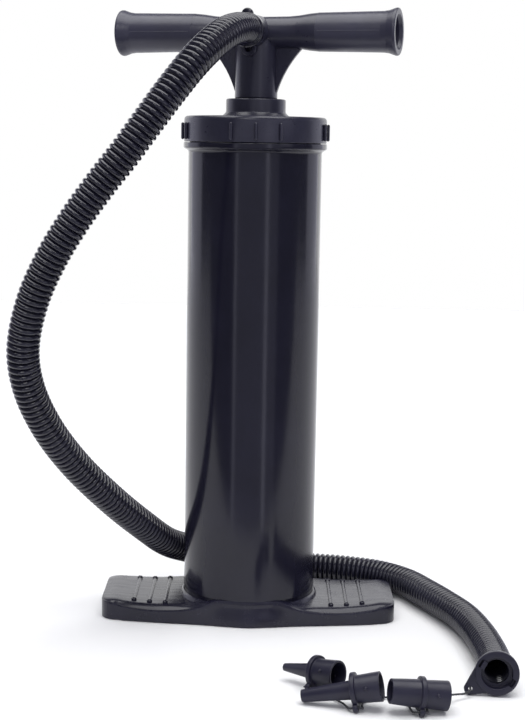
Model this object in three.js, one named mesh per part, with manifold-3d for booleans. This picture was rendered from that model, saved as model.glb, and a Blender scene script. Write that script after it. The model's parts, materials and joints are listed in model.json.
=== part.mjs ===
// Double action hand pump: a free-standing barrel with two foot wings, a T-handled plunger that
// moves air on both strokes, a corrugated hose and three loose nozzles. Millimetres, +Z up.
// The origin is on the floor under the barrel's axis, and +Y points to the back.
import * as THREE from "three";
import { mergeVertices } from "three/addons/utils/BufferGeometryUtils.js";
import Module from "manifold-3d";

const wasm = await Module();
wasm.setup();

// ---- Driving dimensions ----
const GAP = 0.3; // between pieces that touch
const ROUND = 40; // facets on the large round pieces
const MEDIUM = 24;
const SMALL = 12;

const BARREL_R = 52.4;
const BORE_R = 49.6;
const FLANGE_R = 56.2;
const FLANGE_LOW = 371.8;
const FLANGE_HIGH = 376;
const THREAD_R = 52.2;
const BARREL_TOP = 387.6;

const WEB_LOW = 5.5; // floor web of the foot, which carries the barrel
const WEB_HIGH = 8.5;
const WING_REACH = 117;
const SKIRT = 2.6;

const CAP_R = 55.8;
const CAP_LOW = 376.4;
const CAP_HIGH = 396.4;
const CAP_PLATE = 390; // underside of the cap's top plate
const NECK_R = 23.3;
const NECK_TOP = 410;
const RIB_GROUPS = 4;
const RIBS_IN_GROUP = 3;
const RIB_PITCH = THREE.MathUtils.degToRad(19.3);

const ROD_R = 14.3;
const ROD_WALL = 1.6;
const CORE_R = 9; // inner tube, which carries the air out
const CORE_WALL = 1.4;
const PISTON_LOW = 22.6; // underside of the lower valve plate at rest
const PLATE_T = 4;
const CHAMBER_H = 12;
const PLATE_R = 48.8;
const STROKE = 260;
const FLAP_R = 10;
const FLAP_T = 1.3;

const BAR_Z = 461; // height of the grip bar's axis
const STEM_R = 16.6;
const STEM_LOW = 411.4;
const BAR_R = 11.9;
const GRIP_FROM = 50;
const GRIP_END = 112.4;
const FLARE_R = 17.9;
const GRIP_BORE_R = 12;
const HANDLE_TURN = THREE.MathUtils.degToRad(-17);
const BOSS_R = 12.8;
const LATCH_Z = 448; // height of the ring-shaped catch under the front port
const BOSS_REACH = 22;
const SPIGOT_R = 10.3;
const SPIGOT_LENGTH = 6.6;

const COLLAR_R = 15.5; // flange of the loose hose end's collar
const PORT_COLLAR_R = 13.2; // flange of the collar at the handle's port
const COLLAR_BODY_R = 12.8;
const COLLAR_LENGTH = 9.6;
const SOCKET_DEPTH = 7.4;
const COLLAR_BORE_R = 10.8;
const TAB_REACH = 26;
const TAB_HOLE_AT = 21.4;
const TAB_LOW = -4.4;
const TAB_T = 3.4;
const KNOB_R = 4.7; // rounded lug on top of the port's collar
const NOTCH_TURNS = [117, 297].map(THREE.MathUtils.degToRad);

const HOSE_R = 12.2;
const STRING_R = 0.8;

const NOZZLE_CUP_R = 10.2;
const NOZZLE_CUP_LENGTH = 16.8;
const NOZZLE_FLANGE_R = 11.7;
const NOZZLE_FLANGE_T = 3.4;
const EYELET_R = 2.8;
const EYELET_BORE_R = 1.6;
const PEG_R = 1.4;
const PEG_TURN = THREE.MathUtils.degToRad(-64); // from the eyelet, round the cup

// ---- Geometry helpers ----
function solid(geometry) {
  const bare = geometry.index ? geometry.toNonIndexed() : geometry.clone();
  for (const name of ["normal", "uv"]) bare.deleteAttribute(name);
  const merged = mergeVertices(bare, 1e-3);
  const triVerts = new Uint32Array(merged.index.array);
  const vertProperties = merged.attributes.position.array;
  const make = () => new wasm.Manifold(new wasm.Mesh({ numProp: 3, vertProperties, triVerts }));
  const made = make();
  if (made.volume() > 0) return made;
  for (let i = 0; i < triVerts.length; i += 3) triVerts.subarray(i + 1, i + 3).reverse();
  return make();
}

function geometryOf(manifold) {
  const mesh = manifold.getMesh();
  const positions = new THREE.BufferAttribute(new Float32Array(mesh.vertProperties), 3);
  const geometry = new THREE.BufferGeometry().setAttribute("position", positions);
  geometry.setIndex(new THREE.BufferAttribute(new Uint32Array(mesh.triVerts), 1));
  geometry.computeVertexNormals();
  return geometry;
}

const closed = (geometry) => geometryOf(solid(geometry));

function join(...geometries) {
  return geometryOf(geometries.map(solid).reduce((all, next) => all.add(next)));
}

function meet(geometry, other) {
  return geometryOf(solid(geometry).intersect(solid(other)));
}

function cut(geometry, ...tools) {
  return geometryOf(tools.map(solid).reduce((left, tool) => left.subtract(tool), solid(geometry)));
}

// Turns a profile of [radius, height] points about +Z.
function turned(profile, facets = MEDIUM) {
  const points = profile.map(([r, z]) => new THREE.Vector2(r, z));
  return closed(new THREE.LatheGeometry(points, facets).rotateX(Math.PI / 2));
}

const loop = (profile) => [...profile, profile[0]];

function ringOf(inner, outer, low, high, facets) {
  return turned(loop([[inner, low], [outer, low], [outer, high], [inner, high]]), facets);
}

function roundBar(radius, low, high, facets = SMALL) {
  return turned([[0, low], [radius, low], [radius, high], [0, high]], facets);
}

function oRing(radius, section, height, facets = 36) {
  const corners = Array.from({ length: 6 }, (_, i) => (i * Math.PI) / 3);
  const profile = corners.map((a) => [
    radius + section * Math.cos(a),
    height + section * Math.sin(a),
  ]);
  return turned(loop(profile), facets);
}

function block(width, depth, height, x = 0, y = 0, z = 0) {
  return new THREE.BoxGeometry(width, depth, height).translate(x, y, z);
}

// Joins sections, each a ring of [x, y, z] with the same number of points, into one closed skin.
function lofted(sections) {
  const count = sections[0].length;
  const corners = sections.flat(2);
  const faces = [];
  for (let s = 0; s + 1 < sections.length; s++) {
    for (let i = 0; i < count; i++) {
      const a = s * count + i;
      const b = s * count + ((i + 1) % count);
      faces.push(a, b, b + count, a, b + count, a + count);
    }
  }
  const last = (sections.length - 1) * count;
  for (let i = 1; i + 1 < count; i++) {
    faces.push(0, i + 1, i);
    faces.push(last, last + i, last + i + 1);
  }
  const geometry = new THREE.BufferGeometry().setIndex(faces);
  geometry.setAttribute("position", new THREE.Float32BufferAttribute(corners, 3));
  return closed(geometry);
}

// A tube of constant radius along a route of points.
function tubeAlong(route, radius, sides, steps) {
  const section = new THREE.Shape(
    Array.from({ length: sides }, (_, i) => {
      const a = (i * 2 * Math.PI) / sides;
      return new THREE.Vector2(radius * Math.cos(a), radius * Math.sin(a));
    }),
  );
  const path = new THREE.CatmullRomCurve3(route.map((p) => new THREE.Vector3(...p)), false, "centripetal");
  return closed(new THREE.ExtrudeGeometry(section, { steps, extrudePath: path }));
}

const between = (from, to, share) => from + (to - from) * share;

const smooth = (t) => t * t * (3 - 2 * t);

// Height or width on a smooth curve through a short list of [position, value] points.
function eased(points, x) {
  const at = points.findIndex(([place]) => place >= x);
  if (at <= 0) return points[at === 0 ? 0 : points.length - 1][1];
  const slopeAt = (i) => {
    if (i === 0) return 0;
    const [xa, ya] = points[i - 1];
    const [xb, yb] = points[Math.min(i + 1, points.length - 1)];
    return (yb - ya) / (xb - xa);
  };
  const [x0, y0] = points[at - 1];
  const [x1, y1] = points[at];
  const run = x1 - x0;
  const t = (x - x0) / run;
  const bend = t * (1 - t) * run * (slopeAt(at - 1) * (1 - t) - slopeAt(at) * t);
  return between(y0, y1, smooth(t)) + bend;
}

const BLACK = 0x2a2a33;

function addMesh(parent, name, geometry, color = BLACK, roughness = 0.45) {
  const material = new THREE.MeshStandardMaterial({ color, roughness, metalness: 0 });
  const mesh = new THREE.Mesh(geometry, material);
  mesh.name = name;
  parent.add(mesh);
  return mesh;
}

const RUBBER = 0x18181a;
const STEEL = 0xb4b6ba;
const pump = new THREE.Group();

// ---- Foot ----
// Half depth of the foot, height of its outer lip, and rise of its top above the lip, by |x|.
const FOOT_DEPTH = [[0, 55.9], [18, 53.6], [36, 50.2], [75, 45.4], [98, 41.8], [106, 39]];
const LIP = [
  [0, 20],
  [24, 20],
  [31, 17.4],
  [38, 14.2],
  [46, 12],
  [59, 10.2],
  [78, 9.6],
  [98, 11.4],
  [108, 13.4],
  [WING_REACH, 14],
];
const RISE = [[30, 0.4], [60, 3], [98, 3], [WING_REACH, 0.6]];
const BEVEL = 9; // how far in from the lip the top is reached
const TUCK = 2.9; // how far the front and back lean in to meet the barrel
const TUCK_FROM = 16;
const TUCK_TO = 40;
const CORNER_R = 13;

function footDepth(x) {
  const reach = Math.abs(x);
  const into = reach - (WING_REACH - CORNER_R);
  if (into <= 0) return eased(FOOT_DEPTH, reach);
  const round = CORNER_R - Math.sqrt(Math.max(0, CORNER_R ** 2 - into ** 2));
  return eased(FOOT_DEPTH, WING_REACH - CORNER_R) - round;
}

function footTuck(x) {
  const share = (Math.abs(x) - TUCK_FROM) / (TUCK_TO - TUCK_FROM);
  return TUCK * (1 - smooth(Math.min(1, Math.max(0, share))));
}

function footSection(x, inset, low) {
  const depth = footDepth(x) - inset;
  const tuck = footTuck(x);
  const lip = eased(LIP, Math.abs(x)) - inset;
  const top = lip + eased(RISE, Math.abs(x));
  const shoulder = Math.max(1, depth - BEVEL);
  const half = [[depth, low], [depth - 0.6 * tuck, 0.5 * lip], [depth - tuck, lip], [shoulder, top]];
  const mirrored = half.map(([y, z]) => [-y, z]).reverse();
  return [...half, ...mirrored].map(([y, z]) => [x, y, z]);
}

function footSlab(from, to, inset, low, steps) {
  const stations = Array.from({ length: steps + 1 }, (_, i) => between(from, to, i / steps));
  return lofted(stations.map((x) => footSection(x, inset, low)));
}

const COLLAR_OUT = BARREL_R + 3.2;
const FOOT_SCREWS = 4;
const SCREW_CIRCLE = 30;
const atFootScrew = (geometry, i) =>
  geometry.translate(SCREW_CIRCLE, 0, 0).rotateZ(Math.PI / 4 + (i * 2 * Math.PI) / FOOT_SCREWS);

// The collar round the barrel, trimmed to the foot's front and back.
function footCollar() {
  const ring = turned(
    [
      [0, 0],
      [COLLAR_OUT, 0],
      [COLLAR_OUT, 12.5],
      [COLLAR_OUT - 0.9, 15.2],
      [COLLAR_OUT - 2.2, 16.8],
      [0, 16.8],
    ],
    ROUND,
  );
  const stations = Array.from({ length: 21 }, (_, i) => between(-COLLAR_OUT - 1, COLLAR_OUT + 1, i / 20));
  const room = lofted(
    stations.map((x) => {
      const y = footDepth(x) - footTuck(x) - GAP;
      return [[x, y, -1], [x, y, 30], [x, -y, 30], [x, -y, -1]];
    }),
  );
  return meet(ring, room);
}

function footGeometry() {
  const mainReach = WING_REACH - CORNER_R;
  const cornerSteps = [0.35, 0.62, 0.82, 0.95, 0.995].map((s) => mainReach + CORNER_R * s);
  const inner = Array.from({ length: 27 }, (_, i) => between(-mainReach, mainReach, i / 26));
  const stations = [...cornerSteps.map((x) => -x).reverse(), ...inner, ...cornerSteps];
  const outer = lofted(stations.map((x) => footSection(x, 0, 0)));
  const treads = [];
  for (const side of [-1, 1]) {
    for (const x of [66, 78.5, 91]) {
      const top = eased(LIP, x) + eased(RISE, x);
      treads.push(block(2.6, 2 * (footDepth(x) - 12), 3, side * x, 0, top - 0.6));
    }
  }
  const hollows = [];
  for (const side of [-1, 1]) {
    for (const [from, to] of [[57, 73], [75.4, 91], [93.4, 112]]) {
      hollows.push(footSlab(side * from, side * to, SKIRT, -2, 4));
    }
  }
  const socket = roundBar(BARREL_R + GAP, WEB_HIGH, 40, ROUND);
  const under = roundBar(BARREL_R - 2, -2, WEB_LOW, MEDIUM);
  const holes = Array.from({ length: FOOT_SCREWS }, (_, i) => atFootScrew(roundBar(2, 0, 20), i));
  return cut(join(outer, footCollar(), ...treads), socket, under, ...hollows, ...holes);
}

addMesh(pump, "foot_base", footGeometry(), 0x34343c, 0.5);

// ---- Barrel and its closed lower end ----
const barrelProfile = loop([
  [BORE_R, WEB_HIGH + GAP],
  [BARREL_R, WEB_HIGH + GAP],
  [BARREL_R, FLANGE_LOW - 1.5],
  [FLANGE_R - 0.6, FLANGE_LOW],
  [FLANGE_R, FLANGE_LOW + 0.6],
  [FLANGE_R, FLANGE_HIGH],
  [THREAD_R - 1, FLANGE_HIGH],
  [THREAD_R - 1, FLANGE_HIGH + 2.5],
  [THREAD_R, FLANGE_HIGH + 3.3],
  [THREAD_R - 1, FLANGE_HIGH + 4.1],
  [THREAD_R - 1, BARREL_TOP],
  [BORE_R, BARREL_TOP],
]);
addMesh(pump, "barrel", turned(barrelProfile, ROUND), 0x24242c, 0.22);

const END_LOW = WEB_HIGH + 0.5;
const END_HIGH = END_LOW + 5;
const endPlate = turned(
  [
    [0, END_LOW],
    [BORE_R - 0.4, END_LOW],
    [BORE_R - 0.4, END_LOW + 1],
    [BORE_R - 2.9, END_LOW + 1],
    [BORE_R - 2.9, END_LOW + 3.6],
    [BORE_R - 0.4, END_LOW + 3.6],
    [BORE_R - 0.4, END_HIGH],
    [0, END_HIGH],
  ],
  ROUND,
);
const blindHoles = Array.from({ length: FOOT_SCREWS }, (_, i) =>
  atFootScrew(roundBar(2, END_LOW - 1, END_LOW + 3.6), i),
);
addMesh(pump, "barrel_end_plate", cut(endPlate, ...blindHoles));
addMesh(pump, "end_plate_oring", oRing(BORE_R - 1.55, 1.1, END_LOW + 2.3), RUBBER, 0.8);

for (let i = 0; i < FOOT_SCREWS; i++) {
  const screw = turned([[0, 2.6], [3.4, 2.6], [3.6, 5.2], [1.7, 5.2], [1.7, 12], [0, 12.3]], SMALL);
  addMesh(pump, `foot_screw_${i + 1}`, atFootScrew(screw, i), STEEL, 0.35);
}

// ---- Screw cap, with the rod's guide and seal ----
const capProfile = loop([
  [THREAD_R + GAP + 0.2, CAP_LOW],
  [CAP_R, CAP_LOW],
  [CAP_R, CAP_HIGH - 3],
  [CAP_R - 0.9, CAP_HIGH - 0.9],
  [CAP_R - 3, CAP_HIGH],
  [NECK_R + 1.6, CAP_HIGH],
  [NECK_R + 0.4, CAP_HIGH + 1],
  [NECK_R, CAP_HIGH + 3],
  [NECK_R, NECK_TOP - 0.8],
  [NECK_R - 0.8, NECK_TOP],
  [19, NECK_TOP],
  [19, CAP_PLATE],
  [THREAD_R + GAP + 0.2, CAP_PLATE],
]);
const gripRibs = [];
for (let group = 0; group < RIB_GROUPS; group++) {
  for (let i = 0; i < RIBS_IN_GROUP; i++) {
    const turn = (group * 2 * Math.PI) / RIB_GROUPS + (i - 1) * RIB_PITCH;
    const rib = block(4, 2, 15, CAP_R + 0.5, 0, CAP_LOW + 9);
    gripRibs.push(rib.rotateZ(turn));
  }
}
addMesh(pump, "screw_cap", join(turned(capProfile, ROUND), ...gripRibs));
addMesh(pump, "cap_gasket", ringOf(BORE_R - 2, THREAD_R - 1, 388, 389.6, ROUND), RUBBER, 0.8);

const guideProfile = loop([
  [ROD_R + 0.35, 386.2],
  [22.4, 386.2],
  [22.4, 389.6],
  [18.6, 389.6],
  [18.6, NECK_TOP - 0.8],
  [ROD_R + 0.35, NECK_TOP - 0.8],
]);
addMesh(pump, "rod_guide_bush", turned(guideProfile, MEDIUM), 0x8a8a86, 0.5);
const sealProfile = loop([
  [ROD_R + 0.35, 381.2],
  [ROD_R + 1.5, 381.2],
  [ROD_R + 2.2, 384.4],
  [19.6, 381.2],
  [21.2, 381.2],
  [21.2, 385.8],
  [ROD_R + 0.35, 385.8],
]);
addMesh(pump, "rod_seal", turned(sealProfile, MEDIUM), RUBBER, 0.8);
const retainerProfile = loop([
  [ROD_R + 0.7, 377.6],
  [25.4, 377.6],
  [25.4, 389.6],
  [22.8, 389.6],
  [22.8, 380.8],
  [ROD_R + 0.7, 380.8],
]);
addMesh(pump, "seal_retainer", turned(retainerProfile, MEDIUM));

// ---- Piston: two valve plates, the chamber block between them, and its ring ----
const plunger = new THREE.Group();
plunger.rotation.z = HANDLE_TURN;
pump.add(plunger);

const CHAMBER_LOW = PISTON_LOW + PLATE_T + GAP;
const CHAMBER_HIGH = CHAMBER_LOW + CHAMBER_H;
const UPPER_LOW = CHAMBER_HIGH + GAP;
const UPPER_HIGH = UPPER_LOW + PLATE_T;
const CHAMBER_R = 45.2;
const PORT_AT = [22, 20]; // centre of a valve port, by its place in each quarter
const PORT_R = 7;
const PISTON_SCREWS = 4;

addMesh(pump, "piston_ring", oRing(47.4, 1.85, (CHAMBER_LOW + CHAMBER_HIGH) / 2), RUBBER, 0.7);

const atPistonScrew = (geometry, i) =>
  geometry.translate(40.6, 0, 0).rotateZ((i * 2 * Math.PI) / PISTON_SCREWS);
const pistonHoles = () =>
  Array.from({ length: PISTON_SCREWS }, (_, i) => atPistonScrew(roundBar(1.9, 0, 80, 12), i));

function valvePlate(low, ports, centre) {
  const disc = turned([[0, low], [PLATE_R, low], [PLATE_R, low + PLATE_T], [0, low + PLATE_T]], ROUND);
  const openings = ports.map(([x, y]) => roundBar(PORT_R, low - 1, low + PLATE_T + 1).translate(x, y, 0));
  return cut(disc, roundBar(centre, low - 1, low + PLATE_T + 1, MEDIUM), ...openings, ...pistonHoles());
}

// Ports by quarter: the block's back half leads to the inner tube, its front half to the space round it.
const [PX, PY] = PORT_AT;
const VALVES = [
  { name: "intake_flap_lower", x: -PX, y: -PY, plate: PISTON_LOW, above: false },
  { name: "outlet_flap_lower", x: PX, y: PY, plate: PISTON_LOW, above: true },
  { name: "intake_flap_upper", x: PX, y: -PY, plate: UPPER_LOW, above: true },
  { name: "outlet_flap_upper", x: -PX, y: PY, plate: UPPER_LOW, above: false },
];
const portsOf = (plate) => VALVES.filter((v) => v.plate === plate).map((v) => [v.x, v.y]);

addMesh(plunger, "valve_plate_lower", valvePlate(PISTON_LOW, portsOf(PISTON_LOW), 2));
addMesh(plunger, "valve_plate_upper", valvePlate(UPPER_LOW, portsOf(UPPER_LOW), ROD_R + GAP));

function chamberBlock() {
  const outline = new THREE.Shape().absarc(0, 0, CHAMBER_R, 0, 2 * Math.PI);
  const wall = 2.6;
  for (const side of [-1, 1]) {
    const room = new THREE.Path();
    const hub = ROD_R + 3;
    const start = Math.asin(wall / (CHAMBER_R - wall));
    const inner = Math.asin(wall / hub);
    room.absarc(0, 0, CHAMBER_R - wall, start, Math.PI - start, false);
    room.absarc(0, 0, hub, Math.PI - inner, inner, true);
    outline.holes.push(new THREE.Path(room.getPoints(10).map((p) => p.multiplyScalar(side))));
  }
  const options = { depth: CHAMBER_H, bevelEnabled: false, curveSegments: 18 };
  const ring = new THREE.ExtrudeGeometry(outline, options);
  ring.translate(0, 0, CHAMBER_LOW);
  const rodSocket = roundBar(ROD_R + GAP, CHAMBER_LOW + 6, CHAMBER_HIGH + 1, MEDIUM);
  const coreSocket = roundBar(CORE_R + GAP, CHAMBER_LOW + 2.5, CHAMBER_HIGH + 1, MEDIUM);
  const outWindow = block(8, 12, 4.5, 0, 12, CHAMBER_LOW + 4.3);
  const inWindow = block(8, 8, 3, 0, -15, CHAMBER_LOW + 9);
  const posts = Array.from({ length: PISTON_SCREWS }, (_, i) =>
    atPistonScrew(roundBar(4, CHAMBER_LOW, CHAMBER_HIGH, 12), i),
  );
  return cut(join(ring, ...posts), rodSocket, coreSocket, outWindow, inWindow, ...pistonHoles());
}
addMesh(plunger, "piston_block", chamberBlock());

for (let i = 0; i < PISTON_SCREWS; i++) {
  const high = UPPER_HIGH + GAP;
  const low = PISTON_LOW + 0.5;
  const head = high + 2.2;
  const screw = turned([[0, low], [1.5, low], [1.5, high], [3.2, high], [3.2, head], [0, head]], 12);
  addMesh(plunger, `piston_screw_${i + 1}`, atPistonScrew(screw, i), STEEL, 0.35);
}

// Each flap is a rubber disc with a root strip along its hinge line.
for (const valve of VALVES) {
  const low = valve.above ? valve.plate + PLATE_T + GAP : valve.plate - GAP - FLAP_T;
  const outward = Math.sign(valve.x);
  const disc = roundBar(FLAP_R, low, low + FLAP_T, 20);
  const root = block(4, 8, FLAP_T, outward * (FLAP_R - 0.5), 0, low + FLAP_T / 2);
  addMesh(plunger, valve.name, join(disc, root).translate(valve.x, valve.y, 0), RUBBER, 0.7);
}

// ---- Rod: outer tube, inner tube and the sleeve that stops the upstroke ----
const ROD_LOW = CHAMBER_LOW + 6.4;
const ROD_HIGH = 440;
addMesh(plunger, "rod_outer_tube", ringOf(ROD_R - ROD_WALL, ROD_R, ROD_LOW, ROD_HIGH, MEDIUM), 0x9a9ca0, 0.3);
const innerTube = ringOf(CORE_R - CORE_WALL, CORE_R, CHAMBER_LOW + 2.8, 446, MEDIUM);
addMesh(plunger, "air_inner_tube", innerTube, 0x2c2c30);
const bumperTop = 377.2 - STROKE; // meets the seal retainer at full stroke
const BUMPER_T = 6;
const sleeveTop = bumperTop - BUMPER_T - GAP;
addMesh(plunger, "stop_sleeve", ringOf(ROD_R + GAP, 17.6, UPPER_HIGH + GAP, sleeveTop, MEDIUM), 0x55565a);
const bumper = ringOf(ROD_R + GAP, 19.4, bumperTop - BUMPER_T, bumperTop, MEDIUM);
addMesh(plunger, "stop_bumper", bumper, RUBBER, 0.8);

// ---- Handle: hub with its stem, bar, webs and two air ports, then the two grips ----
const alongX = (geometry) => geometry.rotateY(Math.PI / 2).translate(0, 0, BAR_Z);
const alongY = (geometry) => geometry.rotateX(Math.PI / 2).translate(0, 0, BAR_Z);

function gusset(side) {
  const web = new THREE.Shape();
  web.moveTo(12, 452);
  web.lineTo(12, 414.5);
  web.lineTo(STEM_R, 414.5);
  web.quadraticCurveTo(22.6, 434, 38, 450);
  web.lineTo(36, 455);
  web.closePath();
  const plate = new THREE.ExtrudeGeometry(web, { depth: 3, bevelEnabled: false, curveSegments: 8 });
  return plate.translate(0, 0, -1.5).rotateX(Math.PI / 2).rotateZ(side > 0 ? 0 : Math.PI);
}

function hubGeometry() {
  const stem = turned(
    [
      [0, STEM_LOW],
      [STEM_R - 0.5, STEM_LOW],
      [STEM_R, STEM_LOW + 0.6],
      [STEM_R, 449],
      [STEM_R - 1, 454.5],
      [STEM_R - 4, 459.5],
      [STEM_R - 9, 463],
      [0, 464.5],
    ],
    MEDIUM,
  );
  const tipR = GRIP_BORE_R - 0.4; // the bar's ends reach into the grips' sockets
  const half = [
    [BAR_R, 28],
    [BAR_R + 0.4, 33],
    [BAR_R + 1.4, 39],
    [BAR_R + 2.5, 45],
    [BAR_R + 2.85, GRIP_FROM - GAP],
    [tipR, GRIP_FROM - GAP],
    [tipR, GRIP_FROM + 8],
    [0, GRIP_FROM + 8],
  ];
  const bar = turned([...half.map(([r, x]) => [r, -x]).reverse(), ...half], MEDIUM);
  const boss = roundBar(BOSS_R, -BOSS_REACH, BOSS_REACH, MEDIUM);
  const spigots = roundBar(SPIGOT_R, -BOSS_REACH - SPIGOT_LENGTH, BOSS_REACH + SPIGOT_LENGTH, MEDIUM);
  const latch = ringOf(3, 6, 8, BOSS_REACH - GAP, SMALL).rotateX(Math.PI / 2).translate(0, 0, LATCH_Z);
  const body = join(stem, alongX(bar), alongY(boss), alongY(spigots), latch, gusset(1), gusset(-1));
  const rodSocket = roundBar(ROD_R + GAP, STEM_LOW - 1, ROD_HIGH + GAP, MEDIUM);
  const coreSocket = roundBar(CORE_R + GAP, STEM_LOW - 1, 446.4, MEDIUM);
  const outlet = alongY(roundBar(8, 4, 40, MEDIUM));
  const inlet = alongY(roundBar(8, -40, -4, MEDIUM));
  const riser = roundBar(6, 446, BAR_Z, SMALL).translate(0, -5, 0);
  const intakeWay = block(9, 4.6, 24, 0, 12, 449);
  return cut(body, rodSocket, coreSocket, outlet, inlet, riser, intakeWay);
}
addMesh(plunger, "handle_hub", hubGeometry());

function gripGeometry() {
  const outside = [
    [14.75, GRIP_FROM],
    [15, 72],
    [15.5, 101],
    [16, 105],
    [17.2, 108.6],
    [FLARE_R, 110.6],
    [FLARE_R - 0.3, GRIP_END - 0.6],
    [FLARE_R - 1.2, GRIP_END],
  ];
  const inside = [[13.2, GRIP_END], [GRIP_BORE_R, GRIP_END - 2], [GRIP_BORE_R, GRIP_FROM]];
  return turned(loop([...outside, ...inside]), MEDIUM);
}
addMesh(plunger, "grip_right", alongX(gripGeometry()), BLACK, 0.5);
addMesh(plunger, "grip_left", alongX(gripGeometry()).rotateZ(Math.PI), BLACK, 0.5);

// ---- Hose end collars: a flanged socket, on the loose end with bayonet notches and a pull tab ----
// The mouth faces +Z at height 0, and the tab points along +X.
function collarShell(flangeR) {
  return turned(
    loop([
      [8.4, -COLLAR_LENGTH],
      [COLLAR_BODY_R, -COLLAR_LENGTH],
      [COLLAR_BODY_R, TAB_LOW - 0.6],
      [flangeR, TAB_LOW],
      [flangeR, -0.6],
      [flangeR - 0.6, 0],
      [COLLAR_BORE_R, 0],
      [COLLAR_BORE_R, -SOCKET_DEPTH],
      [8.4, -SOCKET_DEPTH],
    ]),
    MEDIUM,
  );
}

function plateOf(shape) {
  const options = { depth: TAB_T, bevelEnabled: false, curveSegments: 6 };
  return new THREE.ExtrudeGeometry(shape, options).translate(0, 0, TAB_LOW);
}

function portCollarGeometry() {
  const knob = new THREE.Shape();
  knob.moveTo(11.6, -KNOB_R);
  knob.absarc(12, 0, KNOB_R, -Math.PI / 2, Math.PI / 2, false);
  knob.lineTo(11.6, KNOB_R);
  knob.closePath();
  return join(collarShell(PORT_COLLAR_R), plateOf(knob));
}

function endCollarGeometry() {
  const tipR = 2.3;
  const tab = new THREE.Shape();
  tab.moveTo(8, -12.8);
  tab.absarc(TAB_REACH - tipR, 0, tipR, -Math.PI / 3, Math.PI / 3, false);
  tab.lineTo(12.4, 8.7);
  tab.lineTo(12.6, -4);
  tab.closePath();
  tab.holes.push(new THREE.Path().absarc(TAB_HOLE_AT, 0, 1.5, 0, 2 * Math.PI));
  const notch = block(4.3, 5, 8.4, COLLAR_BORE_R + 0.65);
  const notches = NOTCH_TURNS.map((turn) => notch.clone().rotateZ(turn));
  return cut(join(collarShell(COLLAR_R), plateOf(tab)), ...notches);
}

const portCollar = addMesh(plunger, "hose_port_collar", portCollarGeometry());
portCollar.position.set(0, -BOSS_REACH - GAP, BAR_Z);
portCollar.rotation.set(-Math.PI / 2, 0, -Math.PI / 2, "XYZ");

// ---- Hose: from the handle's front port, round the left of the barrel, behind it and back ----
const HOSE_UPPER = [
  [-9.6, -31.5, 461],
  [-13.6, -46, 460.4],
  [-24, -74, 454],
  [-41, -102, 436],
  [-60, -117, 411],
  [-77, -124, 387],
  [-92, -126.5, 366],
];
const HOSE_LOWER = [
  [-93, -126.6, 364.7],
  [-106, -127, 348],
  [-126, -127, 320],
  [-143, -125, 292],
  [-157, -121, 261],
  [-165, -114, 226],
  [-163, -104, 197],
  [-153, -88, 166],
  [-135, -64, 132],
  [-109, -36, 97],
  [-85, -6, 68],
  [-68, 21, 48],
  [-51, 46.8, 35.6],
  [-26, 67, 24.6],
  [8, 77.6, 15.8],
  [46, 78, 12.6],
  [82, 70, 12.6],
  [110.6, 56.8, 12.6],
  [131.8, 33.6, 12.6],
  [146, 3, 12.6],
  [158, -27, 12.6],
  [169, -60, 12.6],
  [175, -98, 12.6],
  [177.5, -136, 12.6],
  [177.4, -161, 12.8],
  [175.2, -184.4, 14.9],
];
addMesh(pump, "hose_upper", tubeAlong(HOSE_UPPER, HOSE_R, 10, 8), 0x2e2e36, 0.4);
addMesh(pump, "hose_lower", tubeAlong(HOSE_LOWER, HOSE_R, 10, 36), 0x2e2e36, 0.4);

// ---- Loose end on the floor: collar, string and nozzles ----
const endCollar = addMesh(pump, "hose_end_collar", endCollarGeometry());
endCollar.position.set(174.1, -194.8, 16.1);
endCollar.quaternion.setFromRotationMatrix(
  new THREE.Matrix4().makeBasis(
    new THREE.Vector3(-0.844, 0.0135, -0.536).normalize(),
    new THREE.Vector3(0.526, -0.173, -0.833).normalize(),
    new THREE.Vector3(-0.104, -0.985, 0.139).normalize(),
  ),
);

// A nozzle is turned about +Z: its cup opens at height 0, then come the flange and the part
// below it. The flange carries an eyelet for the string and the cup two bayonet pegs.
const FLANGE_FOOT = -NOZZLE_CUP_LENGTH - NOZZLE_FLANGE_T;

function nozzle(length, baseR, tipR, rootBoreR, tipBoreR) {
  const cupBoreR = NOZZLE_CUP_R - 1.5;
  const shell = turned(
    loop([
      [NOZZLE_CUP_R, 0],
      [cupBoreR, 0],
      [cupBoreR - 0.8, -NOZZLE_CUP_LENGTH],
      [rootBoreR, -NOZZLE_CUP_LENGTH - 1],
      [tipBoreR, FLANGE_FOOT - length],
      [tipR - 0.3, FLANGE_FOOT - length],
      [tipR, FLANGE_FOOT - length + 0.5],
      [baseR, FLANGE_FOOT],
      [NOZZLE_FLANGE_R, FLANGE_FOOT],
      [NOZZLE_FLANGE_R, -NOZZLE_CUP_LENGTH],
      [NOZZLE_CUP_R - 0.8, -NOZZLE_CUP_LENGTH],
    ]),
    16,
  );
  const eyelet = ringOf(EYELET_BORE_R, EYELET_R, FLANGE_FOOT, -NOZZLE_CUP_LENGTH, 12);
  eyelet.translate(NOZZLE_FLANGE_R + 1.5, 0, 0);
  const peg = roundBar(PEG_R, NOZZLE_CUP_R - 1, NOZZLE_CUP_R + 0.7, 8).rotateY(Math.PI / 2);
  const pegAt = (turn) => peg.clone().translate(0, 0, -9).rotateZ(turn);
  return join(shell, eyelet, pegAt(PEG_TURN), pegAt(PEG_TURN + Math.PI));
}

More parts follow.
